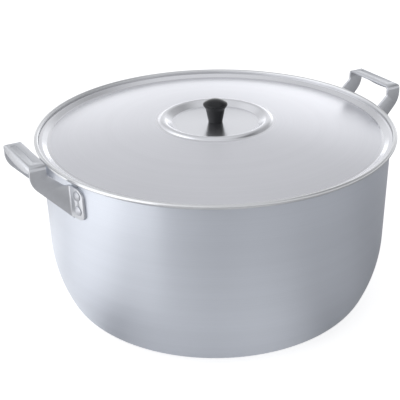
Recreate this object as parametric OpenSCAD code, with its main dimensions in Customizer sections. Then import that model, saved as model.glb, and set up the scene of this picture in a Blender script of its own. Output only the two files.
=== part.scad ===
// Large stock pot in anodised aluminium: a spun shell with a rolled rim, a loose domed lid
// with a moulded knob, and two pressed strap handles, each held by four rivets.
// Millimetres. The origin is the centre of the base's underside, +Z is up, and the
// handles lie along X.

/* [Pot shell] */
// Height from the base to the crest of the rolled rim
pot_h = 235; // [160:1:300]
// Outer radius of the wall at the height of the rim's centre
pot_r = 224.5; // [180:0.1:280]
// Thickness of the pot's sheet
pot_t = 1.5; // [1:0.1:1.8]
// Angle by which the wall narrows towards the base, in degrees
wall_taper = 1.2; // [0.5:0.1:4]
// Radius of the long curve below the straight wall
shoulder_r = 185; // [120:1:220]
// Angle that the long curve turns through, in degrees
shoulder_turn = 23.9; // [15:0.1:30]
// Radius of the tight curve above the base
heel_r = 30.3; // [20:0.1:50]
// Angle that the tight curve turns through, in degrees
heel_turn = 51.6; // [45:0.1:58]
// Radius of the shallow curve that runs out into the flat base
sole_r = 177; // [80:1:200]

/* [Rolled rim] */
// Outer radius of the rolled bead's section
bead_r = 2.6; // [2.2:0.1:3.5]
// Distance from the wall's outer face to the bead's outermost line
bead_reach = 7.5; // [6:0.1:9]
// Depth of the lid's seat below the bead's crest
seat_drop = 6; // [4:0.1:8]
// Radius of the bends at the lid's seat, on their tighter side
seat_bend_r = 0.5; // [0.3:0.1:0.6]
// Angle that the bead turns through before its edge stops short of the wall
bead_wrap = 275; // [200:5:285]

/* [Lid] */
// Thickness of the lid's sheet
lid_t = 1.3; // [0.8:0.1:1.8]
// Gap between the lid's edge and the inside of the bead
lid_side_gap = 0.3; // [0.2:0.05:0.6]
// Gap between the lid's flange and its seat
lid_seat_gap = 0.3; // [0.2:0.05:0.6]
// Width of the lid's flat flange
flange_w = 4.1; // [3:0.1:8]
// Depth of the sunk slope inside the flange
slope_drop = 3.9; // [3:0.1:10]
// Radial width of the sunk slope
slope_w = 6.3; // [4:0.1:10]
// Radius of the bends beside the slope
slope_bend_r = 2; // [1.9:0.1:3]
// Height that the dome rises from the slope to the pressed ring
dome_rise = 18.1; // [8:0.1:24]
// Radius of the pressed ring's outer foot
ring_foot_r = 74; // [60:0.1:90]
// Radial width of the ring's outer side
ring_outer_w = 5.5; // [5:0.1:8]
// Height of the corner between the ring's two sides above its foot
ring_peak = 5.5; // [4:0.1:7]
// Radius of the ring's rounded crest
ring_crest_r = 7; // [3:0.1:7.3]
// Radial width of the ring's inner side
ring_inner_w = 12.5; // [11:0.1:16]
// Depth of the sunk floor below the ring's foot
floor_drop = 3; // [1:0.1:5]
// Radius of the bends at the ring's foot and at the floor's edge
ring_bend_r = 2.5; // [2:0.1:4]

/* [Lid knob] */
// Height of the knob
knob_h = 30.3; // [26:0.1:40]
// Radius of the knob's foot
knob_foot_r = 9; // [7.5:0.1:12]
// Radius of the knob's neck under the cap
knob_neck_r = 12.5; // [10:0.1:14]
// Height of the neck
knob_neck_h = 17.5; // [15:0.1:20]
// Radius of the cap
knob_cap_r = 15.8; // [15:0.1:20]
// Radius of the cap's rounded edge
knob_edge_r = 2.5; // [1.5:0.1:3]
// Height of the cap's widest line above the foot
knob_cap_h = 23.5; // [22:0.1:26]
// Radius of the hollow under the knob's foot, which leaves a rim to sit on the lid
knob_relief_r = 7; // [6:0.1:7.3]
// Depth of that hollow
knob_relief_d = 0.8; // [0.4:0.1:1.5]

/* [Knob fixing] */
// Radius of the knob screw's shank
screw_r = 2.5; // [2:0.1:3]
// Radial clearance between the screw and the lid's hole
screw_hole_gap = 0.25; // [0.1:0.05:0.5]
// Radial clearance between the screw and the brass insert
screw_fit_gap = 0.05; // [0.02:0.01:0.1]
// Length that the screw reaches up into the insert
screw_grip = 9; // [6:0.5:11]
// Radius of the screw's head
screw_head_r = 4.6; // [4.2:0.1:5]
// Height of the screw's head
screw_head_h = 3; // [2.5:0.1:4]
// Width of the slots of the head's cross recess
cross_w = 1.1; // [0.8:0.1:1.4]
// Length of the slots of the head's cross recess
cross_l = 5.2; // [4:0.1:6]
// Depth of the cross recess
cross_d = 1.8; // [1:0.1:2]
// Radius of the brass insert
insert_r = 4.2; // [3.8:0.1:5]
// Length of the brass insert
insert_h = 13; // [12:0.5:16]
// Radius at the bottom of the insert's holding groove
insert_groove_r = 3.6; // [3.3:0.1:3.7]
// Width of the insert's holding groove
insert_groove_w = 2.5; // [1.5:0.1:3.5]
// Radius of the flat washer under the lid
washer_r = 7; // [5.5:0.1:9]
// Thickness of the flat washer
washer_t = 1; // [0.8:0.1:1.5]
// Radius of the spring washer
spring_washer_r = 4.5; // [4.2:0.1:5.2]
// Thickness of the spring washer
spring_washer_t = 1.3; // [1:0.1:1.6]
// Width of the cut through the spring washer
spring_cut_w = 0.8; // [0.5:0.1:1.2]

/* [Strap handles] */
// Thickness of the handle's sheet
strap_t = 3; // [2:0.1:3.5]
// Width of a handle across the outer faces of its arms
strap_w = 85.5; // [66:0.5:100]
// Distance from the bead's outermost line to the grip's inner edge
grip_gap = 17; // [16:0.5:30]
// Radial width of the grip
grip_w = 20.3; // [16:0.1:26]
// Height of the grip's top face above the bead's crest
grip_rise = 20; // [12:0.1:26]
// Outer radius of the bends between the grip and the arms
grip_bend_r = 6; // [4:0.1:8]
// Outer radius of the bend between the grip and its turned-down lip
lip_bend_r = 3.5; // [3.4:0.1:5]
// Depth of the turned-down lip at its ends
lip_end_h = 8.8; // [7:0.1:12]
// Extra depth of the lip at its middle
lip_swell = 4.5; // [3:0.1:7]
// Width of the relief cut between the lip and each arm
relief_w = 1.2; // [0.8:0.1:2]
// Depth of the arm's upper root below the bead's centre
arm_top_drop = 9.6; // [8:0.1:15]
// Length of the level stretch at the arm's upper root
arm_level_l = 3.5; // [3:0.1:7]
// Height of the arm's elbow above the bead's centre
elbow_rise = 9.1; // [4:0.1:12]
// Radius of the arm's elbow
elbow_r = 6; // [3:0.5:8]
// Radius of the blend at the arm's upper root
root_blend_r = 10; // [5:0.5:12]
// Depth below the bead's centre at which the arm's outer edge starts to slant
knee_drop = 0; // [0:0.1:8]
// Radius of the arm's outer knee
knee_r = 27; // [15:0.5:32]
// Depth of the recessed panel on the grip
panel_d = 0.5; // [0.3:0.1:0.8]
// Half the width of the recessed panel
panel_r = 4; // [2.5:0.1:5]
// Distance from the panel's end to the arm's outer face
panel_end = 12; // [8:0.5:16]

/* [Handle feet] */
// Distance from the handle's middle plane to the end of a foot
foot_reach = 65.5; // [60:0.1:80]
// Depth of the foot's top edge below the bead's centre
foot_top_drop = 9.1; // [8:0.1:12]
// Depth of the foot's lower edge below the bead's centre
foot_low_drop = 49; // [45:0.1:60]
// Radius of the foot's upper corner
foot_top_r = 12; // [6:0.5:13]
// Radius of the foot's lower corner
foot_low_r = 6; // [3:0.5:10]
// Length of the slope between the arm's root and the foot's top edge
foot_slope_l = 9; // [6:0.5:10]
// Radius of the bend between an arm and its foot, on the tighter side
foot_bend_r = 3; // [2:0.1:5]
// Gap between a foot and the wall
foot_gap = 0.1; // [0.05:0.05:0.3]

/* [Rivets] */
// Radius of a rivet's shank
rivet_r = 2.5; // [2:0.1:3]
// Radial clearance of the shank in its holes
rivet_gap = 0.05; // [0.02:0.01:0.1]
// Radius of a rivet's domed head
rivet_head_r = 6; // [5:0.1:6.5]
// Height of a rivet's domed head
rivet_head_h = 2.4; // [1.8:0.1:3.5]
// Height of the upright edge of the domed head
rivet_head_edge_h = 0.8; // [0.3:0.1:1.2]
// Radius of the flat head inside the pot
rivet_tail_r = 4.6; // [4:0.1:5.5]
// Height of the flat head inside the pot
rivet_tail_h = 1.2; // [0.8:0.1:2]
// Radius of the rounded edge of the flat head
rivet_tail_edge_r = 0.6; // [0.3:0.1:0.8]
// Distance of the rivets from the handle's middle plane
rivet_reach = 56; // [54:0.1:60]
// Depth of the upper rivets below the bead's centre
rivet_top_drop = 19; // [17:0.1:24]
// Distance between the upper and the lower rivets
rivet_pitch = 19.2; // [14:0.1:20]

/* [Hidden] */
RIVETS = [
    for (side = ["right", "left"], place = ["front", "back"], row = ["upper", "lower"])
        [str(side, "_", place, "_", row, "_rivet"), side, place, row]
];

$fn = 96;
large_fn = 256;
overrun = 5;
least = 0.001;
arc_step = 10;
arc_length = 6;
lap = 0.1;
round_reach_share = 1.5;

silver = [0.80, 0.81, 0.84];
pale_silver = [0.84, 0.85, 0.88];
handle_grey = [0.66, 0.68, 0.71];
rivet_grey = [0.78, 0.79, 0.82];
knob_black = [0.07, 0.07, 0.08];
brass_yellow = [0.78, 0.62, 0.30];
steel_grey = [0.62, 0.62, 0.64];

bead_z = pot_h - bead_r;
seat_z = pot_h - seat_drop;
bead_c = pot_r + bead_reach - bead_r;
rim_r = bead_c + bead_r;
bead_inner_r = bead_c - bead_r;

lid_r = bead_inner_r - lid_side_gap;
flange_z = seat_z + lid_seat_gap + lid_t;
slope_out_r = lid_r - flange_w;
slope_in_r = slope_out_r - slope_w;
slope_z = flange_z - slope_drop;
ring_foot_z = slope_z + dome_rise;
floor_z = ring_foot_z - floor_drop;
floor_under_z = floor_z - lid_t;

washer_z = floor_under_z - washer_t;
spring_z = washer_z - spring_washer_t;
head_z = spring_z - screw_head_h;
insert_z = floor_z + knob_relief_d;

grip_in = rim_r + grip_gap;
grip_out = grip_in + grip_w;
grip_z = pot_h + grip_rise;
arm_out = strap_w / 2;
arm_in = arm_out - strap_t;
arm_top_z = bead_z - arm_top_drop;
foot_top_z = bead_z - foot_top_drop;
foot_low_z = bead_z - foot_low_drop;
foot_mid_z = (foot_top_z + foot_low_z) / 2;

// Outer radius of the straight wall at height z
function wall_r(z) = pot_r - (bead_z - z) * tan(wall_taper);

// Direction from a to b, a quarter turn to the left, and the turn at b in degrees
function toward(a, b) = (b - a) / norm(b - a);
function left_of(d) = [-d[1], d[0]];
function turn_at(a, b, c) =
    let (p = toward(a, b), q = toward(b, c))
    atan2(p[0] * q[1] - p[1] * q[0], p * q);

// Distance from a corner to the start of its rounding of radius r
function round_run(a, b, c, r) = r * tan(abs(turn_at(a, b, c)) / 2);

// Downward direction along the pot's side at an angle from vertical
function side_dir(angle) = [-sin(angle), -cos(angle)];

// Part of a ring about c, between directions a and b by way of direction m
module ring_part(c, r_in, r_out, a, m, b) {
    reach = r_out * round_reach_share;
    left_turn = a[0] * m[1] > a[1] * m[0];
    translate(c)
        intersection() {
            difference() {
                circle(r_out);
                if (r_in > least)
                    circle(r_in);
            }
            polygon([[0, 0], (left_turn ? a : b) * reach, m * reach, (left_turn ? b : a) * reach]);
        }
}

// Steps of an arc of radius r through an angle
function arc_steps(r, angle) =
    max(ceil(abs(angle) / arc_step), ceil(abs(angle) * PI / 180 * r / arc_length));

// Points of an arc about c, from one angle to another
function arc_points(c, r, from, to) =
    let (n = arc_steps(r, to - from))
    [for (k = [0 : n]) let (a = from + (to - from) * k / n) c + r * [cos(a), sin(a)]];

// Points of the rounded corner at b, on a line shifted to the left of a path by off
function corner_points(a, b, c, r, off) =
    let (
        turn = turn_at(a, b, c),
        s = sign(turn),
        d = toward(a, b),
        centre = b - round_run(a, b, c, r) * d + s * r * left_of(d),
        from = atan2(d[1], d[0]) - s * 90
    )
    r > 0 ? arc_points(centre, r - s * off, from, from + turn) : [b];

// One side of a sheet that follows a path, shifted to the left by off
function sheet_side(path, radii, off) =
    let (last = len(path) - 1)
    concat(
        [path[0] + off * left_of(toward(path[0], path[1]))],
        [
            for (i = [1 : last - 1])
                each corner_points(path[i - 1], path[i], path[i + 1], radii[i], off)
        ],
        [path[last] + off * left_of(toward(path[last - 1], path[last]))]
    );

// The same points in the opposite order, and without repeats
function reversed(points) = [for (i = [len(points) - 1 : -1 : 0]) points[i]];
function once(points) = [
    for (i = [0 : len(points) - 1])
        if (i == 0 || norm(points[i] - points[i - 1]) > least) points[i]
];

// Closed outline, given counter-clockwise, with rounded corners
module rounded_outline(points, radii) {
    n = len(points);
    polygon(once([
        for (i = [0 : n - 1])
            each corner_points(points[(i + n - 1) % n], points[i], points[(i + 1) % n], radii[i], 0)
    ]));
}

// Corners of the shell's outer section, from the base's centre to the lid's seat
function shell_path() =
    let (
        a1 = wall_taper,
        a2 = a1 + shoulder_turn,
        a3 = a2 + heel_turn,
        curve_h = shoulder_r * (sin(a2) - sin(a1)) + heel_r * (sin(a3) - sin(a2))
            + sole_r * (1 - sin(a3)),
        run1 = shoulder_r * tan(shoulder_turn / 2),
        run2 = heel_r * tan(heel_turn / 2),
        run3 = sole_r * tan((90 - a3) / 2),
        shoulder = [wall_r(curve_h), curve_h] + run1 * side_dir(a1),
        heel = shoulder + (run1 + run2) * side_dir(a2),
        sole = heel + (run2 + run3) * side_dir(a3),
        seat_under_z = seat_z - pot_t
    )
    [
        [0, 0],
        [sole[0], 0],
        heel,
        shoulder,
        [wall_r(seat_under_z), seat_under_z],
        [bead_inner_r + pot_t, seat_under_z],
        [bead_inner_r + pot_t, bead_z]
    ];

// The shell's half section, with the bead rolled outwards and down to its free edge
module shell_section() {
    path = shell_path();
    radii = [0, sole_r, heel_r, shoulder_r, seat_bend_r, seat_bend_r + pot_t, 0];
    bead = [bead_c, bead_z];
    polygon(once(concat(
        sheet_side(path, radii, 0),
        arc_points(bead, bead_r - pot_t, 180, 180 - bead_wrap),
        arc_points(bead, bead_r, 180 - bead_wrap, 180),
        reversed(sheet_side(path, radii, pot_t))
    )));
}

// Solid inside the straight wall's outer face, grown by a gap, between two heights
module wall_cone(gap, low, high) {
    rotate_extrude($fn = large_fn)
        polygon([
            [0, low],
            [wall_r(low) + gap, low],
            [wall_r(high) + gap, high],
            [0, high]
        ]);
}

// Puts its children at a rivet of the right handle, with +Z along the rivet's outward axis
module at_rivet(place, row) {
    z = bead_z - rivet_top_drop - (row == "upper" ? 0 : rivet_pitch);
    around = asin(rivet_reach / (wall_r(z) + foot_gap + strap_t));
    rotate([0, 0, place == "front" ? -around : around])
        translate([wall_r(z), 0, z])
            rotate([0, 90 + wall_taper, 0])
                children();
}

// Turns its children from the right handle to the named side
module on_side(side) {
    rotate([0, 0, side == "right" ? 0 : 180])
        children();
}

module rivet_holes(from, to) {
    for (place = ["front", "back"], row = ["upper", "lower"])
        at_rivet(place, row)
            translate([0, 0, from])
                cylinder(r = rivet_r + rivet_gap, h = to - from);
}

module pot_shell() {
    color(silver)
        difference() {
            rotate_extrude($fn = large_fn)
                shell_section();
            for (side = ["right", "left"])
                on_side(side)
                    rivet_holes(-pot_t - overrun, overrun);
        }
}

// Middle corner of the dome, where the lines from its two ends meet at equal slopes
function dome_corner() =
    let (
        inner = [ring_foot_r, ring_foot_z],
        outer = [slope_in_r, slope_z],
        span = outer - inner,
        dome_r = (outer[0] ^ 2 - inner[0] ^ 2) / 2 / dome_rise,
        half_angle = asin(norm(span) / 2 / dome_r)
    )
    (inner + outer) / 2 + norm(span) / 2 * tan(half_angle) * left_of(span / norm(span));

module lid_section() {
    mid = dome_corner();
    path = [
        [0, floor_z],
        [ring_foot_r - ring_outer_w - ring_inner_w, floor_z],
        [ring_foot_r - ring_outer_w, ring_foot_z + ring_peak],
        [ring_foot_r, ring_foot_z],
        mid,
        [slope_in_r, slope_z],
        [slope_out_r, flange_z],
        [lid_r, flange_z]
    ];
    ring_run = round_run(path[2], path[3], path[4], ring_bend_r);
    slope_run = round_run(path[4], path[5], path[6], slope_bend_r);
    free = min(norm(path[4] - path[3]) - ring_run, norm(path[5] - path[4]) - slope_run) - lap;
    dome_r = free / tan(abs(turn_at(path[3], path[4], path[5])) / 2);
    radii = [0, ring_bend_r, ring_crest_r, ring_bend_r, dome_r, slope_bend_r, slope_bend_r, 0];
    polygon(once(concat(
        sheet_side(path, radii, -lid_t),
        reversed(sheet_side(path, radii, 0))
    )));
}

module lid_plate() {
    color(pale_silver)
        difference() {
            rotate_extrude($fn = large_fn)
                lid_section();
            translate([0, 0, floor_under_z - overrun])
                cylinder(r = screw_r + screw_hole_gap, h = lid_t + overrun * 2);
        }
}

// Half section of the knob, with its foot at z = 0
module knob_section() {
    edge_c = [knob_cap_r - knob_edge_r, knob_cap_h];
    neck = [knob_neck_r, knob_neck_h];
    rise = knob_h - knob_cap_h;
    dome_r = (edge_c[0] ^ 2 + rise ^ 2 - knob_edge_r ^ 2) / 2 / (rise - knob_edge_r);
    dome_c = [0, knob_h - dome_r];
    reach = norm(edge_c - neck);
    under_angle = atan2(edge_c[1] - neck[1], edge_c[0] - neck[0]) - asin(knob_edge_r / reach);
    top_angle = atan2(edge_c[1] - dome_c[1], edge_c[0]);
    polygon(once(concat(
        [[0, 0], [knob_foot_r, 0], neck],
        arc_points(edge_c, knob_edge_r, under_angle - 90, top_angle),
        arc_points(dome_c, dome_r, top_angle, 90)
    )));
}

module lid_knob() {
    color(knob_black)
        translate([0, 0, floor_z])
            difference() {
                rotate_extrude()
                    knob_section();
                translate([0, 0, -overrun])
                    cylinder(r = knob_relief_r, h = knob_relief_d + overrun);
                translate([0, 0, knob_relief_d])
                    insert_body();
            }
}

// The insert's outer form, standing on z = 0
module insert_body() {
    groove_z = (insert_h - insert_groove_w) / 2;
    difference() {
        cylinder(r = insert_r, h = insert_h);
        translate([0, 0, groove_z])
            difference() {
                cylinder(r = insert_r + overrun, h = insert_groove_w);
                translate([0, 0, -overrun])
                    cylinder(r = insert_groove_r, h = insert_groove_w + overrun * 2);
            }
    }
}

module knob_insert() {
    color(brass_yellow)
        translate([0, 0, insert_z])
            difference() {
                insert_body();
                translate([0, 0, -overrun])
                    cylinder(r = screw_r + screw_fit_gap, h = screw_grip + lid_t + overrun);
            }
}

module knob_screw() {
    color(steel_grey)
        translate([0, 0, head_z])
            difference() {
                union() {
                    intersection() {
                        cylinder(r = screw_head_r, h = screw_head_h);
                        translate([0, 0, screw_head_r])
                            sphere(screw_head_r * sqrt(2));
                    }
                    cylinder(r = screw_r, h = insert_z + screw_grip - head_z);
                }
                for (turned = [0, 90])
                    rotate([0, 0, turned])
                        translate([-cross_l / 2, -cross_w / 2, -overrun])
                            cube([cross_l, cross_w, cross_d + overrun]);
            }
}

module washer(r, t) {
    difference() {
        cylinder(r = r, h = t);
        translate([0, 0, -overrun])
            cylinder(r = screw_r + screw_hole_gap, h = t + overrun * 2);
    }
}

module flat_washer() {
    color(steel_grey)
        translate([0, 0, washer_z])
            washer(washer_r, washer_t);
}

module spring_washer() {
    color(steel_grey)
        translate([0, 0, spring_z])
            difference() {
                washer(spring_washer_r, spring_washer_t);
                translate([0, -spring_cut_w / 2, -overrun])
                    cube([spring_washer_r + overrun, spring_cut_w, spring_washer_t + overrun * 2]);
            }
}

// Stands a section drawn as [outwards, up] upright and spreads it evenly along Y
module spread_y(half) {
    rotate([90, 0, 0])
        translate([0, 0, -half])
            linear_extrude(half * 2)
                children();
}

// Stands a section drawn as [across, up] upright, from x = from to x = to
module spread_x(from, to) {
    translate([from, 0, 0])
        rotate([90, 0, 90])
            linear_extrude(to - from)
                children();
}

// Side view of an arm and the grip's end
module arm_outline() {
    wall_x = wall_r(foot_low_z) - overrun;
    level_x = wall_r(arm_top_z) + arm_level_l;
    slant_z = bead_z - knee_drop;
    slant_run = (grip_out - wall_r(foot_low_z)) / (slant_z - foot_low_z);
    rounded_outline(
        [
            [wall_x, foot_low_z - overrun / slant_run],
            [grip_out, slant_z],
            [grip_out, grip_z],
            [grip_in, grip_z],
            [grip_in, bead_z + elbow_rise],
            [level_x, arm_top_z],
            [wall_x, arm_top_z]
        ],
        [0, knee_r, lip_bend_r, 0, elbow_r, root_blend_r, 0]
    );
}

// Front view of the strap: outer or inner face of the grip and both arms
module strap_outline(half, top, bend) {
    rounded_outline(
        [
            [-half, foot_low_z - overrun],
            [half, foot_low_z - overrun],
            [half, top],
            [-half, top]
        ],
        [0, 0, bend, bend]
    );
}

// Grip, lip and arms, bent from one strap and still square where they meet the wall
module strap_body() {
    difference() {
        intersection() {
            spread_y(strap_w)
                arm_outline();
            spread_x(0, grip_out + overrun)
                strap_outline(arm_out, grip_z, grip_bend_r);
        }
        spread_x(0, grip_out - strap_t)
            strap_outline(arm_in, grip_z - strap_t, grip_bend_r - strap_t);
        lip_cut();
        relief_cuts();
        panel_cut();
    }
}

// What is cut away under the lip's curved lower edge
module lip_cut() {
    end_z = grip_z - lip_end_h;
    arc_r = (arm_in ^ 2 + lip_swell ^ 2) / 2 / lip_swell;
    spread_x(grip_out - strap_t - lap, grip_out + overrun)
        difference() {
            translate([-arm_in, foot_low_z])
                square([arm_in * 2, end_z - foot_low_z]);
            translate([0, end_z - lip_swell + arc_r])
                circle(arc_r, $fn = large_fn);
        }
}

// Narrow cuts that free the lip's ends from the arms
module relief_cuts() {
    for (end = [-arm_in, arm_in - relief_w])
        translate([grip_out - strap_t - lap, end, foot_low_z])
            cube([strap_t + overrun, relief_w, grip_z - grip_bend_r - foot_low_z]);
}

// Shallow recessed panel with round ends, along the outer half of the grip
module panel_cut() {
    half = arm_out - panel_end - panel_r;
    x = grip_out - lip_bend_r - panel_r;
    translate([x, 0, grip_z - panel_d]) {
        for (end = [-half, half])
            translate([0, end, 0])
                cylinder(r = panel_r, h = panel_d + overrun);
        translate([-panel_r, -half, 0])
            cube([panel_r * 2, half * 2, panel_d + overrun]);
    }
}

// Outline of one foot seen from outside, as far in as the arm's inner face
module foot_outline() {
    rounded_outline(
        [
            [arm_in, foot_low_z],
            [foot_reach, foot_low_z],
            [foot_reach, foot_top_z],
            [arm_out + foot_slope_l, foot_top_z],
            [arm_in, arm_top_z]
        ],
        [0, foot_low_r, foot_top_r, foot_slope_l / 2, 0]
    );
}

// Foot that follows the wall's cone
module foot() {
    intersection() {
        wall_cone(foot_gap + strap_t, foot_low_z - overrun, foot_top_z + overrun);
        spread_x(wall_r(foot_low_z) / 2, pot_r + overrun * 2)
            foot_outline();
    }
}

// Places a plan view of one arm's root upright along the wall's slant
module along_wall() {
    low = foot_low_z - foot_mid_z - overrun;
    translate([wall_r(foot_mid_z), 0, foot_mid_z])
        rotate([0, wall_taper, 0])
            translate([-wall_r(foot_mid_z), 0, low])
                linear_extrude(-low * 2)
                    children();
}

// Corner between an arm's outer face and its foot, filled by a hollow bend
module bend_fill() {
    face_r = wall_r(foot_mid_z) + foot_gap + strap_t;
    y = arm_out + foot_bend_r - lap;
    x = sqrt((face_r + foot_bend_r - lap) ^ 2 - y ^ 2);
    corner = sqrt(face_r ^ 2 - arm_out ^ 2);
    foot_dir = -[x, y] / norm([x, y]);
    difference() {
        polygon([
            [corner - lap * 2, arm_out - lap * 2],
            [x, arm_out - lap * 2],
            [x, y],
            [x, y] + foot_dir * (foot_bend_r + lap * 2)
        ]);
        translate([x, y])
            circle(foot_bend_r);
    }
}

// Corner between an arm's inner face and the wall, to be rounded off
module bend_cut() {
    face_r = wall_r(foot_mid_z) + foot_gap;
    outer_r = foot_bend_r + strap_t;
    y = arm_in + outer_r - lap;
    x = sqrt((face_r + outer_r - lap) ^ 2 - y ^ 2);
    corner = sqrt(face_r ^ 2 - arm_in ^ 2);
    foot_dir = -[x, y] / norm([x, y]);
    difference() {
        polygon([
            [corner - overrun, arm_in - overrun],
            [x, arm_in - overrun],
            [x, y],
            [x, y] + foot_dir * (outer_r + overrun)
        ]);
        translate([x, y])
            circle(outer_r);
    }
}

// The right handle, whole
module strap_handle() {
    difference() {
        union() {
            strap_body();
            for (m = [0, 1])
                mirror([0, m, 0]) {
                    foot();
                    intersection() {
                        along_wall()
                            bend_fill();
                        spread_y(strap_w)
                            arm_outline();
                    }
                }
        }
        wall_cone(foot_gap, foot_low_z - overrun * 2, foot_top_z + overrun);
        for (m = [0, 1])
            mirror([0, m, 0])
                along_wall()
                    bend_cut();
        rivet_holes(-overrun, foot_gap + strap_t + overrun);
    }
}

module right_handle() {
    color(handle_grey)
        strap_handle();
}

module left_handle() {
    color(handle_grey)
        on_side("left")
            strap_handle();
}

// Rivet along +Z, with z = 0 at the wall's outer face
module rivet() {
    head_z = foot_gap + strap_t;
    tail_z = -pot_t - rivet_tail_r ^ 2 / 2 / wall_r(foot_low_z);
    dome_h = rivet_head_h - rivet_head_edge_h;
    dome_r = (rivet_head_r ^ 2 + dome_h ^ 2) / 2 / dome_h;
    edge = rivet_tail_edge_r;
    color(rivet_grey)
        rotate_extrude() {
            intersection() {
                translate([0, head_z + rivet_head_h - dome_r])
                    circle(dome_r);
                translate([0, head_z])
                    square([rivet_head_r, rivet_head_h]);
            }
            translate([0, tail_z - rivet_tail_h + edge])
                square([rivet_r, head_z - tail_z + rivet_tail_h - edge]);
            translate([0, tail_z - rivet_tail_h])
                square([rivet_tail_r - edge, rivet_tail_h]);
            translate([0, tail_z - rivet_tail_h + edge])
                square([rivet_tail_r, rivet_tail_h - edge]);
            ring_part([rivet_tail_r - edge, tail_z - rivet_tail_h + edge], 0, edge,
                [0, -1], [1, -1], [1, 0]);
        }
}

pot_shell();
lid_plate();
left_handle();
right_handle();
lid_knob();
knob_insert();
knob_screw();
flat_washer();
spring_washer();
for (r = RIVETS)
    on_side(r[1]) at_rivet(r[2], r[3]) rivet();
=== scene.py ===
"""Looks of a large anodised aluminium stock pot with a loose domed lid, in metres, in the CAD frame."""

import math

import bmesh
import bpy
from mathutils import Matrix, Vector


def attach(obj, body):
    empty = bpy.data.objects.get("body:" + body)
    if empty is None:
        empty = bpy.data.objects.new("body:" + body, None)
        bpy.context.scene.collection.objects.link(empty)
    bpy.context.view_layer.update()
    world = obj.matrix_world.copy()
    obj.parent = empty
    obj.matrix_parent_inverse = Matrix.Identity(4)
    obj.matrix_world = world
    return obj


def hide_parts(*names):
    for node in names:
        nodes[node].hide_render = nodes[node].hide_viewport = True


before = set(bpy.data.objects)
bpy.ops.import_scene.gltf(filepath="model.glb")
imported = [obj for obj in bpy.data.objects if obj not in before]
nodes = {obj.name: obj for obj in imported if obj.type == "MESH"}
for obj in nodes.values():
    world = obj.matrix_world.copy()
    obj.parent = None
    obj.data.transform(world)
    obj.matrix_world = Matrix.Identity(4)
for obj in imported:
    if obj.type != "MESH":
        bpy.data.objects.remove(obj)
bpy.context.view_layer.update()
MM = 0.001
WHITE = (1, 1, 1, 1)

# Camera. It stands 21.87 degrees above the rim's centre, 30.4 degrees round from the line square to the handles.
PHI, PITCH, ROLL = math.radians(30.4), math.radians(26.03), math.radians(-0.6)
ELEVATION, DISTANCE, RIM_Z = math.radians(21.87), 1.28196, 0.2323
SENSOR, LENS, SHIFT_X, CLIP_END = 36, 88.93, -0.0407, 200
AHEAD = Vector((math.sin(PHI), math.cos(PHI), 0))
ASIDE = Vector((math.cos(PHI), -math.sin(PHI), 0))
UP = Vector((0, 0, 1))


def add_object(name, data):
    """A new object in the scene."""
    thing = bpy.data.objects.new(name, data)
    bpy.context.scene.collection.objects.link(thing)
    return thing


def make_camera():
    data = bpy.data.cameras.new("camera")
    data.sensor_width = SENSOR
    data.lens = LENS
    data.shift_x = SHIFT_X
    data.clip_end = CLIP_END
    camera = add_object("camera", data)
    rise = RIM_Z + DISTANCE * math.sin(ELEVATION)
    place = -AHEAD * DISTANCE * math.cos(ELEVATION) + UP * rise
    look = AHEAD * math.cos(PITCH) - UP * math.sin(PITCH)
    up = ASIDE.cross(look)
    side = ASIDE * math.cos(ROLL) + up * math.sin(ROLL)
    top = up * math.cos(ROLL) - ASIDE * math.sin(ROLL)
    turn = Matrix((side, top, -look)).transposed().to_4x4()
    camera.matrix_world = Matrix.Translation(place) @ turn
    bpy.context.scene.camera = camera


# Node helpers
class Nodes:
    """Short way to wire shader nodes. A node given as a value stands for its first output."""

    def __init__(self, tree):
        self.tree = tree
        tree.nodes.clear()

    def put(self, kind, inputs=(), **settings):
        node = self.tree.nodes.new(kind)
        for key, value in settings.items():
            setattr(node, key, value)
        for key, value in dict(inputs).items():
            self.feed(node.inputs[key], value)
        return node

    def feed(self, socket, value):
        if isinstance(value, bpy.types.NodeSocket):
            self.tree.links.new(value, socket)
        elif isinstance(value, bpy.types.Node):
            self.tree.links.new(value.outputs[0], socket)
        else:
            socket.default_value = value

    def math(self, operation, a, b=0.0, c=0.0):
        return self.put("ShaderNodeMath", {0: a, 1: b, 2: c}, operation=operation)

    def vector(self, operation, a, b=(0, 0, 0)):
        return self.put("ShaderNodeVectorMath", {0: a, 1: b}, operation=operation)

    def length(self, a):
        return self.vector("LENGTH", a).outputs["Value"]

    def level(self, a):
        """The direction of a with its height left out."""
        return self.vector("NORMALIZE", self.vector("MULTIPLY", a, (1, 1, 0)))

    def span(self, value, low, high, out_low, out_high, smooth=False):
        """Maps low to high onto out_low to out_high, held at the ends."""
        return self.put(
            "ShaderNodeMapRange",
            {"Value": value, "From Min": low, "From Max": high, "To Min": out_low, "To Max": out_high},
            interpolation_type="SMOOTHSTEP" if smooth else "LINEAR",
        )

    def noise(self, vector, scale, detail, rough):
        return self.put(
            "ShaderNodeTexNoise",
            {"Vector": vector, "Scale": scale, "Detail": detail, "Roughness": rough},
        )

    def mix(self, factor, a, b, data_type="RGBA"):
        node = self.put("ShaderNodeMix", data_type=data_type)
        for socket, value in (("Factor", factor), ("A", a), ("B", b)):
            self.feed(node.inputs[socket], value)
        return node.outputs["Result"]


# Materials
def start_material(name):
    """A new material, its node helper and the place on the surface."""
    material = bpy.data.materials.new(name)
    material.use_nodes = True
    n = Nodes(material.node_tree)
    return material, n, n.put("ShaderNodeTexCoord").outputs["Object"]


def end_material(n, inputs, settings):
    """Ends the nodes in a shader with inputs that vary, and settings that are the same all over."""
    shader = n.put("ShaderNodeBsdfPrincipled", inputs)
    for socket, value in settings.items():
        shader.inputs[socket].default_value = value
    n.put("ShaderNodeOutputMaterial", {"Surface": shader})


def tinted(colour, factor):
    return tuple(min(1, c * factor) for c in colour[:3]) + (1,)


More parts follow.
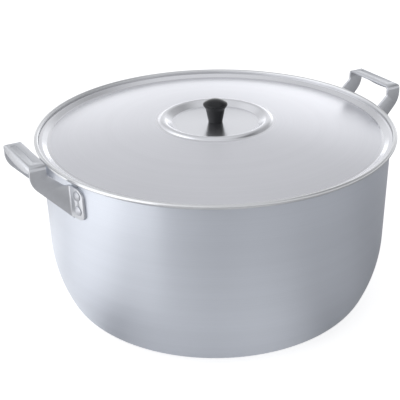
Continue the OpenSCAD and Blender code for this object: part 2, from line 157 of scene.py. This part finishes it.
def spun_metal(name, colour, rough, anisotropy, burnished, bare, marked):
    """Satin anodised sheet, with the fine turning marks of spinning round Z.

    burnished gives the bands that the forming rolls burnished, as (inner radius, outer radius, roughness). They take
    the colour bare. marked is the strength of the marks.
    """
    material, n, place = start_material(name)
    grain, band_edge = 900, 0.001
    radius = n.length(n.vector("MULTIPLY", place, (1, 1, 0)))
    height = n.put("ShaderNodeSeparateXYZ", {0: place}).outputs["Z"]
    rings = n.put("ShaderNodeCombineXYZ", {"X": radius, "Y": height})
    fine = n.noise(rings, scale=grain, detail=3, rough=0.6)
    broad = n.noise(rings, scale=grain / 14, detail=2, rough=0.5)
    cloud = n.noise(place, scale=7, detail=3, rough=0.5)
    speck = n.noise(place, scale=1500, detail=2, rough=0.6)
    marks = n.math("MULTIPLY_ADD", fine, 0.6, n.math("MULTIPLY", broad, 0.4))

    shade = n.span(n.math("ADD", marks, n.math("MULTIPLY", cloud, 0.5)), 0.5, 1.0, 0.0, 1.0)
    tone = n.mix(shade, tinted(colour, 0.955), tinted(colour, 1.03))
    speckled = n.math("ADD", marks, n.math("MULTIPLY", speck, 0.3))
    spread = 0.035 * marked
    gloss = n.span(speckled, 0.4, 0.9, rough - spread, rough + spread)
    for inner, outer, smooth in burnished:
        outside = n.span(radius, inner, inner + band_edge, 0, 1)
        inside = n.span(radius, outer, outer + band_edge, 1, 0)
        band = n.math("MULTIPLY", outside, inside)
        gloss = n.math("MULTIPLY_ADD", n.math("SUBTRACT", smooth, gloss), band, gloss)
        tone = n.mix(band, tone, bare)

    relief = n.math("MULTIPLY_ADD", speck, 0.35, n.math("MULTIPLY", fine, 0.65))
    bumped = n.put("ShaderNodeBump", {"Strength": 0.1 * marked, "Distance": 0.00004, "Height": relief})
    tangent = n.put("ShaderNodeTangent", direction_type="RADIAL", axis="Z")
    end_material(
        n,
        {"Base Color": tone, "Roughness": gloss, "Normal": bumped, "Tangent": tangent},
        {"Metallic": 1, "Anisotropic": anisotropy, "Anisotropic Rotation": 0.25},
    )
    return material


def pressed_metal(name, colour, rough):
    """Matt anodised or blasted metal: fine even grain, and edges worn slightly brighter."""
    material, n, place = start_material(name)
    grain = n.noise(place, scale=1400, detail=3, rough=0.65)
    cloud = n.noise(place, scale=22, detail=3, rough=0.55)
    scuff = n.noise(place, scale=260, detail=4, rough=0.7)
    edge = n.span(n.put("ShaderNodeNewGeometry").outputs["Pointiness"], 0.51, 0.58, 0, 1)

    shade = n.span(n.math("ADD", cloud, n.math("MULTIPLY", scuff, 0.5)), 0.5, 1.0, 0.0, 1.0)
    plain = n.mix(shade, tinted(colour, 0.93), tinted(colour, 1.05))
    tone = n.mix(n.math("MULTIPLY", edge, 0.6), plain, tinted(colour, 1.22))
    worn = n.math("SUBTRACT", scuff, n.math("MULTIPLY", edge, 0.3))
    gloss = n.span(worn, 0.1, 0.8, rough - 0.06, rough + 0.06)
    relief = n.math("MULTIPLY_ADD", grain, 0.8, n.math("MULTIPLY", scuff, 0.2))
    bumped = n.put("ShaderNodeBump", {"Strength": 0.15, "Distance": 0.00006, "Height": relief})
    end_material(n, {"Base Color": tone, "Roughness": gloss, "Normal": bumped}, {"Metallic": 1})
    return material


def moulded_plastic(name, colour, rough):
    """Black phenolic resin: glossy skin with a faint ripple and handling marks."""
    material, n, place = start_material(name)
    ripple = n.noise(place, scale=160, detail=2, rough=0.5)
    speck = n.noise(place, scale=2600, detail=2, rough=0.5)
    handled = n.noise(place, scale=420, detail=4, rough=0.7)

    tone = n.mix(speck, colour, tinted(colour, 1.5))
    gloss = n.span(handled, 0.3, 0.75, rough - 0.05, rough + 0.08)
    relief = n.math("MULTIPLY_ADD", speck, 0.15, ripple)
    bumped = n.put("ShaderNodeBump", {"Strength": 0.12, "Distance": 0.0002, "Height": relief})
    end_material(n, {"Base Color": tone, "Roughness": gloss, "Normal": bumped}, {"IOR": 1.4})
    return material


# Outlines, as points of (radius, height) in millimetres
ARC_STEP, ARC_LENGTH = math.radians(4), 3.0
BEAD_STEP = math.radians(9)
SAME_POINT = 0.001


def angle_of(v):
    return math.atan2(v[1], v[0])


def toward(a, b):
    d = (b[0] - a[0], b[1] - a[1])
    size = math.hypot(*d)
    return d[0] / size, d[1] / size


def turn_at(a, b, c):
    p, q = toward(a, b), toward(b, c)
    return math.atan2(p[0] * q[1] - p[1] * q[0], p[0] * q[0] + p[1] * q[1])


def run_of(r, turn):
    """How far from a corner its rounding of radius r starts."""
    return r * math.tan(turn / 2)


def arc(c, r, start, end, step=ARC_STEP):
    """Points on an arc, no further apart than an angle and a length."""
    n = max(1, math.ceil(abs(end - start) / step), math.ceil(abs(end - start) * r / ARC_LENGTH))
    angles = [start + (end - start) * k / n for k in range(n + 1)]
    return [(c[0] + r * math.cos(angle), c[1] + r * math.sin(angle)) for angle in angles]


def corner(a, b, c, r, off=0):
    """The rounded corner at b, on a line shifted to the left of the path by off."""
    if r <= 0:
        return [b]
    turn = turn_at(a, b, c)
    s = 1 if turn > 0 else -1
    d = toward(a, b)
    run = run_of(r, abs(turn))
    centre = (b[0] - run * d[0] - s * r * d[1], b[1] - run * d[1] + s * r * d[0])
    start = angle_of(d) - s * math.pi / 2
    return arc(centre, r - s * off, start, start + turn)


def sheet_side(path, radii, off):
    """One face of a bent sheet: the path with its corners rounded, shifted to the left by off."""
    d0, d1 = toward(path[0], path[1]), toward(path[-2], path[-1])
    points = [(path[0][0] - off * d0[1], path[0][1] + off * d0[0])]
    for i in range(1, len(path) - 1):
        points += corner(path[i - 1], path[i], path[i + 1], radii[i], off)
    points.append((path[-1][0] - off * d1[1], path[-1][1] + off * d1[0]))
    return points


def once(points):
    """The points without those that repeat the one before."""
    kept = []
    for p in points:
        if not kept or math.dist(p, kept[-1]) > SAME_POINT:
            kept.append(p)
    return kept


# Sizes, in millimetres, as in the CAD model. The bead reaches 0.03 less, so that its finer turning stays inside the
# CAD model's box.
POT_H, POT_R, POT_T, TAPER = 235, 224.5, 1.5, math.radians(1.2)
SHOULDER_R, SHOULDER_TURN = 185, math.radians(23.9)
HEEL_R, HEEL_TURN, SOLE_R = 30.3, math.radians(51.6), 177
BEAD_R, BEAD_REACH, SEAT_DROP, SEAT_BEND_R = 2.6, 7.47, 6, 0.5
BEAD_WRAP = math.radians(275)
LID_T, FLANGE_W, SLOPE_DROP, SLOPE_W, SLOPE_BEND_R = 1.3, 4.1, 3.9, 6.3, 2
LID_SIDE_GAP, LID_SEAT_GAP, SCREW_HOLE_R = 0.3, 0.3, 2.75
DOME_RISE, RING_FOOT_R, RING_OUTER_W, RING_PEAK, RING_CREST_R = 18.1, 74, 5.5, 5.5, 7
RING_INNER_W, FLOOR_DROP, RING_BEND_R = 12.5, 3, 2.5
KNOB_H, KNOB_FOOT_R, KNOB_NECK_R, KNOB_NECK_H = 30.3, 9, 12.5, 17.5
KNOB_CAP_R, KNOB_EDGE_R, KNOB_CAP_H, KNOB_RELIEF_R, KNOB_RELIEF_D = 15.8, 2.5, 23.5, 7, 0.8
KNOB_FOOT_ROUND, KNOB_NECK_ROUND = 0.6, 1.2
INSERT_R, INSERT_TOP = 4.2, 14

BEAD_Z = POT_H - BEAD_R
SEAT_Z = POT_H - SEAT_DROP
BEAD_C = POT_R + BEAD_REACH - BEAD_R
BEAD_INNER_R = BEAD_C - BEAD_R
LID_R = BEAD_INNER_R - LID_SIDE_GAP
FLANGE_Z = SEAT_Z + LID_SEAT_GAP + LID_T
SLOPE_OUT_R = LID_R - FLANGE_W
SLOPE_IN_R = SLOPE_OUT_R - SLOPE_W
SLOPE_Z = FLANGE_Z - SLOPE_DROP
RING_FOOT_Z = SLOPE_Z + DOME_RISE
FLOOR_Z = RING_FOOT_Z - FLOOR_DROP


def shell_outline():
    """The pot's sheet from the middle of the base to the bead, and back along its inside."""
    a1 = TAPER
    a2 = a1 + SHOULDER_TURN
    a3 = a2 + HEEL_TURN
    curve_h = (
        SHOULDER_R * (math.sin(a2) - math.sin(a1))
        + HEEL_R * (math.sin(a3) - math.sin(a2))
        + SOLE_R * (1 - math.sin(a3))
    )
    shoulder_run = run_of(SHOULDER_R, SHOULDER_TURN)
    heel_run = run_of(HEEL_R, HEEL_TURN)
    sole_run = run_of(SOLE_R, math.pi / 2 - a3)

    def wall_r(z):
        return POT_R - (BEAD_Z - z) * math.tan(TAPER)

    def down(p, run, a):
        return p[0] - run * math.sin(a), p[1] - run * math.cos(a)

    shoulder = down((wall_r(curve_h), curve_h), shoulder_run, a1)
    heel = down(shoulder, shoulder_run + heel_run, a2)
    sole = down(heel, heel_run + sole_run, a3)
    under = SEAT_Z - POT_T
    path = [
        (0, 0), (sole[0], 0), heel, shoulder, (wall_r(under), under),
        (BEAD_INNER_R + POT_T, under), (BEAD_INNER_R + POT_T, BEAD_Z),
    ]
    radii = [0, SOLE_R, HEEL_R, SHOULDER_R, SEAT_BEND_R, SEAT_BEND_R + POT_T, 0]
    bead, bead_end = (BEAD_C, BEAD_Z), math.pi - BEAD_WRAP
    return once(
        sheet_side(path, radii, 0)
        + arc(bead, BEAD_R - POT_T, math.pi, bead_end, BEAD_STEP)
        + arc(bead, BEAD_R, bead_end, math.pi, BEAD_STEP)
        + sheet_side(path, radii, POT_T)[::-1]
    )


def lid_outline():
    """The lid's sheet from the screw's hole to the flange along its underside, and back along its top."""
    inner, outer = (RING_FOOT_R, RING_FOOT_Z), (SLOPE_IN_R, SLOPE_Z)
    crest_r = RING_FOOT_R - RING_OUTER_W
    # The dome leaves the ring and the slope at the angles of one sphere, round a corner between the two.
    span = (outer[0] - inner[0], outer[1] - inner[1])
    size = math.hypot(*span)
    dome_r = (outer[0] ** 2 - inner[0] ** 2) / 2 / DOME_RISE
    lift = size / 2 * math.tan(math.asin(size / 2 / dome_r))
    mid = (
        (inner[0] + outer[0]) / 2 - lift * span[1] / size,
        (inner[1] + outer[1]) / 2 + lift * span[0] / size,
    )
    path = [
        (0, FLOOR_Z), (crest_r - RING_INNER_W, FLOOR_Z), (crest_r, RING_FOOT_Z + RING_PEAK),
        inner, mid, outer, (SLOPE_OUT_R, FLANGE_Z), (LID_R, FLANGE_Z),
    ]

    def turn(i):
        return abs(turn_at(path[i - 1], path[i], path[i + 1]))

    ring_side = math.dist(path[4], path[3]) - run_of(RING_BEND_R, turn(3))
    slope_side = math.dist(path[5], path[4]) - run_of(SLOPE_BEND_R, turn(5))
    clear = 0.1
    dome = (min(ring_side, slope_side) - clear) / math.tan(turn(4) / 2)
    radii = [0, RING_BEND_R, RING_CREST_R, RING_BEND_R, dome, SLOPE_BEND_R, SLOPE_BEND_R, 0]
    under, over = sheet_side(path, radii, -LID_T), sheet_side(path, radii, 0)[::-1]
    under[0], over[-1] = (SCREW_HOLE_R, under[0][1]), (SCREW_HOLE_R, over[-1][1])
    return once(under + over)


def knob_outline():
    """The knob from the insert's pocket round its foot, neck and cap to the pocket's top."""
    edge_c, neck = (KNOB_CAP_R - KNOB_EDGE_R, KNOB_CAP_H), (KNOB_NECK_R, KNOB_NECK_H)
    rise = KNOB_H - KNOB_CAP_H
    dome_r = (edge_c[0] ** 2 + rise ** 2 - KNOB_EDGE_R ** 2) / 2 / (rise - KNOB_EDGE_R)
    dome_c = (0, KNOB_H - dome_r)
    reach = math.dist(edge_c, neck)
    under = angle_of((edge_c[0] - neck[0], edge_c[1] - neck[1])) - math.asin(KNOB_EDGE_R / reach)
    cap = (edge_c[0] + KNOB_EDGE_R * math.sin(under), edge_c[1] - KNOB_EDGE_R * math.cos(under))
    top = angle_of((edge_c[0], edge_c[1] - dome_c[1]))
    foot = (KNOB_FOOT_R, 0)
    points = [(INSERT_R, KNOB_RELIEF_D), (KNOB_RELIEF_R, KNOB_RELIEF_D), (KNOB_RELIEF_R, 0)]
    points += corner((0, 0), foot, neck, KNOB_FOOT_ROUND)
    points += corner(foot, neck, cap, KNOB_NECK_ROUND)
    points += arc(edge_c, KNOB_EDGE_R, under - math.pi / 2, top)
    points += arc(dome_c, dome_r, top, math.pi / 2)
    points += [(0, INSERT_TOP), (INSERT_R, INSERT_TOP)]
    return [(r, z + FLOOR_Z) for r, z in once(points)]


# Pieces
SHEET_STEPS, KNOB_STEPS = 360, 96
ON_AXIS = 0.0005
SHARP_EDGE = math.radians(35)
BROKEN_EDGE, BROKEN_FROM = 0.00045, math.radians(40)


def smooth_faces(mesh):
    """Shades the faces smooth, and leaves the edges of the form sharp."""
    for face in mesh.polygons:
        face.use_smooth = True
    mesh.set_sharp_from_angle(angle=SHARP_EDGE)


def ring_of(bm, r, z, steps):
    """Vertices round Z, or the single one on the axis."""
    if r < ON_AXIS:
        return [bm.verts.new((0, 0, z * MM))]
    turns = [2 * math.pi * k / steps for k in range(steps)]
    return [bm.verts.new((r * MM * math.cos(t), r * MM * math.sin(t), z * MM)) for t in turns]


def join_rings(bm, a, b, steps):
    """Faces between two rings, of which one or both may be a single vertex."""
    if len(a) == 1 and len(b) == 1:
        return
    for k in range(steps):
        j = (k + 1) % steps
        if len(a) == 1:
            bm.faces.new((a[0], b[j], b[k]))
        elif len(b) == 1:
            bm.faces.new((a[k], a[j], b[0]))
        else:
            bm.faces.new((a[k], a[j], b[j], b[k]))


def lathe(name, outline, steps, material):
    """Turns a closed outline round Z into an object."""
    mesh = bpy.data.meshes.new(name)
    bm = bmesh.new()
    rings = [ring_of(bm, r, z, steps) for r, z in outline]
    for a, b in zip(rings, rings[1:] + rings[:1]):
        join_rings(bm, a, b, steps)
    bmesh.ops.recalc_face_normals(bm, faces=bm.faces)
    bm.to_mesh(mesh)
    bm.free()
    smooth_faces(mesh)
    mesh.materials.append(material)
    return add_object(name, mesh)


def dressed_handle(node, material):
    """The CAD strap as an object of its own, with its edges broken as a pressed sheet's are."""
    name = node + "_strap"
    mesh = nodes[node].data.copy()
    mesh.name = name
    piece = add_object(name, mesh)
    bm = bmesh.new()
    bm.from_mesh(mesh)
    bmesh.ops.remove_doubles(bm, verts=bm.verts, dist=2e-6)
    bmesh.ops.dissolve_limit(bm, angle_limit=math.radians(1.0), verts=bm.verts, edges=bm.edges)
    bmesh.ops.recalc_face_normals(bm, faces=bm.faces)
    bm.to_mesh(mesh)
    bm.free()
    if "custom_normal" in mesh.attributes:
        mesh.attributes.remove(mesh.attributes["custom_normal"])
    mesh.materials.clear()
    mesh.materials.append(material)
    bevel = piece.modifiers.new("edges", "BEVEL")
    bevel.width = BROKEN_EDGE
    bevel.segments = 2
    bevel.limit_method = "ANGLE"
    bevel.angle_limit = BROKEN_FROM
    bpy.context.view_layer.update()
    evaluated = piece.evaluated_get(bpy.context.evaluated_depsgraph_get())
    done = bpy.data.meshes.new_from_object(evaluated)
    piece.modifiers.clear()
    piece.data = done
    smooth_faces(done)
    return piece


def make_pieces():
    wall = spun_metal(
        "satin_shell", (0.652, 0.680, 0.737, 1), rough=0.40, anisotropy=0.7,
        burnished=((0.2249, 0.24, 0.28),), bare=(0.70, 0.705, 0.715, 1), marked=0.6,
    )
    lid = spun_metal(
        "satin_lid", (0.745, 0.747, 0.782, 1), rough=0.31, anisotropy=0.5,
        burnished=((0, 0.054, 0.24), (0.055, 0.077, 0.25), (0.2125, 0.23, 0.16)),
        bare=(0.735, 0.738, 0.765, 1), marked=0.25,
    )
    strap = pressed_metal("matt_strap", (0.57, 0.58, 0.605, 1), rough=0.38)
    stud = pressed_metal("rivet_heads", (0.50, 0.51, 0.54, 1), rough=0.48)
    brass = pressed_metal("machined_brass", (0.62, 0.42, 0.16, 1), rough=0.28)
    steel = pressed_metal("plated_steel", (0.50, 0.50, 0.52, 1), rough=0.30)
    black = moulded_plastic("black_resin", (0.005, 0.0055, 0.007, 1), rough=0.12)

    # Each piece, with its body, its material slot and the CAD node that it stands for
    pieces = (
        (lathe("shell_body", shell_outline(), SHEET_STEPS, wall), "pot", "shell_metal", "pot_shell"),
        (lathe("lid_body", lid_outline(), SHEET_STEPS, lid), "lid", "lid_metal", "lid_plate"),
        (lathe("knob_body", knob_outline(), KNOB_STEPS, black), "lid", "knob_plastic", "lid_knob"),
        (dressed_handle("left_handle", strap), "pot", "strap_metal", "left_handle"),
        (dressed_handle("right_handle", strap), "pot", "strap_metal", "right_handle"),
    )
    for piece, body, slot, node in pieces:
        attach(piece, body)
        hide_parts(node)

    finishes = {"knob_insert": brass, "knob_screw": steel, "flat_washer": steel, "spring_washer": steel}
    for name, node in nodes.items():
        finish = stud if name.endswith("_rivet") else finishes.get(name)
        if finish:
            node.data.materials.clear()
            node.data.materials.append(finish)


# Studio
def direction(turn):
    """Level direction at an angle to the right of straight ahead, in degrees."""
    turn = math.radians(turn)
    return AHEAD * math.cos(turn) + ASIDE * math.sin(turn)


# Soft light round the studio, on an even base. Each patch gives its turn and its strength low, half way up, high and
# near the top, where a strength below zero takes light away. HEIGHTS gives each height as the sine of the angle
# above level, with half the patch's height after it, and OVERHEAD the same for the light overhead, with its strength.
BASE_LIGHT = 0.525
LIGHT_COLOUR = (0.97, 0.98, 1.0, 1)
HEIGHTS = ((0.05, 0.2), (0.3, 0.25), (0.6, 0.3), (0.77, 0.16))
PATCHES = (
    (0, 1.14, 0.46, 0.24, 0),
    (30, 0.60, 0.16, 0, 0),
    (60, -0.25, -0.2, 0, -0.10),
    (90, 0.10, -0.2, -0.05, -0.35),
    (120, 0.46, 0.18, 0.32, -0.35),
    (150, 0.08, 0, 0.24, 0),
    (180, 0.14, 0, 0.24, 0),
    (-150, 0, 0.16, 0.54, 0.25),
    (-120, 0.28, 0.75, 0.50, 0.60),
    (-90, 0.46, 0.63, 0.51, 0.65),
    (-60, 0.16, 0.53, 0.53, 0.10),
    (-30, 0.22, 0, 0, 0),
)
PATCH_WIDTH = 38
OVERHEAD = (1.0, 0.3, 0.33)
# The metal sees the white background too, up to here: the sines of where it starts to fade and has faded.
BACKDROP_TOP = (0.2, 0.42)

FLOOR_R, FLOOR_SIDES = 30, 64
FLOOR_PAINT = (0.45, 0.45, 0.455, 1)
# Painted light on the floor: pools that glow beyond its paint, and only the metal sees them. Each gives its turn,
# strength near the pot and strength further out, with the distances at which the near part and the further part fade.
PAINTED_FLOOR_POOLS = ((-45, 0.48, 0), (-90, 0.60, 0.51), (-135, 0, 0.20), (180, 0.30, 0), (135, 0.12, 0.08))
FLOOR_WIDTH = 50
NEAR_FADE, FAR_FADE = (0.35, 0.55), (1.0, 1.5)
# Strength that makes the floor white to the camera, and the distances over which the metal starts to see it
WHITE_GLOW, WHITE_FROM = 0.78, (1.3, 3.0)

# Panels round the pot: distance, height of the middle, width and height, then each one's turn and brightness
PANEL_AWAY, PANEL_Z, PANEL_SIZE = 0.75, 0.15, (0.42, 0.3)
PANELS = ((-75, 0.2), (-105, 0.95), (-135, 1.20))


def fade(n, value, middle, half):
    """One at the middle of a span of values, fading evenly to nothing."""
    return n.span(n.math("ABSOLUTE", n.math("SUBTRACT", value, middle)), half, 0, 0, 1, True)


def toward_turn(n, level, turn, width):
    """One where a level direction points to a turn, fading to nothing a width away."""
    near = n.vector("DOT_PRODUCT", level, direction(turn)).outputs["Value"]
    return n.span(near, math.cos(math.radians(width)), 1, 0, 1, True)


def kinds_of_ray(n):
    """Whether the camera looks, and whether metal or glass does."""
    path = n.put("ShaderNodeLightPath").outputs
    return path["Is Camera Ray"], n.math("MAXIMUM", path["Is Glossy Ray"], path["Is Transmission Ray"])


def make_world():
    world = bpy.data.worlds.new("studio")
    bpy.context.scene.world = world
    world.use_nodes = True
    n = Nodes(world.node_tree)
    way = n.put("ShaderNodeTexCoord").outputs["Generated"]
    level = n.level(way)
    high = n.put("ShaderNodeSeparateXYZ", {0: way}).outputs["Z"]
    rows = [fade(n, high, *row) for row in HEIGHTS]
    middle, half, top_light = OVERHEAD
    studio = n.math("MULTIPLY_ADD", fade(n, high, middle, half), top_light, BASE_LIGHT)
    for turn, *strengths in PATCHES:
        column = 0.0
        for row, strength in zip(rows, strengths):
            if strength:
                column = n.math("MULTIPLY_ADD", row, strength, column)
        studio = n.math("MULTIPLY_ADD", toward_turn(n, level, turn, PATCH_WIDTH), column, studio)
    seen, mirrored = kinds_of_ray(n)
    backdrop = n.math("MULTIPLY", n.span(high, *BACKDROP_TOP, 1, 0, True), mirrored)
    strength = n.mix(seen, n.math("MAXIMUM", studio, backdrop), 1.0, "FLOAT")
    colour = n.mix(seen, LIGHT_COLOUR, WHITE)
    light = n.put("ShaderNodeBackground", {"Color": colour, "Strength": strength})
    n.put("ShaderNodeOutputWorld", {"Surface": light})


def make_floor():
    mesh = bpy.data.meshes.new("floor")
    bm = bmesh.new()
    bmesh.ops.create_circle(bm, cap_ends=True, radius=FLOOR_R, segments=FLOOR_SIDES)
    bm.to_mesh(mesh)
    bm.free()
    floor = add_object("floor", mesh)
    material, n, place = start_material("floor")
    seen, mirrored = kinds_of_ray(n)
    level = n.level(place)
    away = n.length(place)
    near = n.span(away, *NEAR_FADE, 1, 0, True)
    far = n.math("MULTIPLY", n.math("SUBTRACT", 1.0, near), n.span(away, *FAR_FADE, 1, 0, True))
    # Painted pools of light on the floor, glowing by turn and distance, for the metal's reflections only
    painted_pool_glow = 0.0
    for turn, inside, outside in PAINTED_FLOOR_POOLS:
        column = n.math("MULTIPLY_ADD", near, inside, n.math("MULTIPLY", far, outside))
        painted_pool_glow = n.math("MULTIPLY_ADD", toward_turn(n, level, turn, FLOOR_WIDTH), column, painted_pool_glow)
    white = n.math("MAXIMUM", seen, n.math("MULTIPLY", n.span(away, *WHITE_FROM, 0, 1, True), mirrored))
    strength = n.math("MAXIMUM", n.math("MULTIPLY", white, WHITE_GLOW), n.math("MULTIPLY", painted_pool_glow, mirrored))
    paint = n.put("ShaderNodeBsdfDiffuse", {"Color": FLOOR_PAINT})
    shine = n.put("ShaderNodeEmission", {"Color": WHITE, "Strength": strength})
    n.put("ShaderNodeOutputMaterial", {"Surface": n.put("ShaderNodeAddShader", {0: paint, 1: shine})})
    mesh.materials.append(material)


def make_panel(name, turn, brightness):
    """Upright soft panel that faces the pot."""
    width, height = PANEL_SIZE
    data = bpy.data.lights.new(name, "AREA")
    data.shape = "RECTANGLE"
    data.size, data.size_y = width, height
    data.energy = brightness * math.pi * width * height
    lamp = add_object(name, data)
    lamp.visible_camera = False
    way = direction(turn)
    facing = way.to_track_quat("Z", "Y").to_matrix().to_4x4()
    lamp.matrix_world = Matrix.Translation(way * PANEL_AWAY + UP * PANEL_Z) @ facing


bpy.context.scene.view_settings.view_transform = "Standard"
make_camera()
make_pieces()
make_world()
make_floor()
for number, panel in enumerate(PANELS):
    make_panel("panel_" + str(number), *panel)
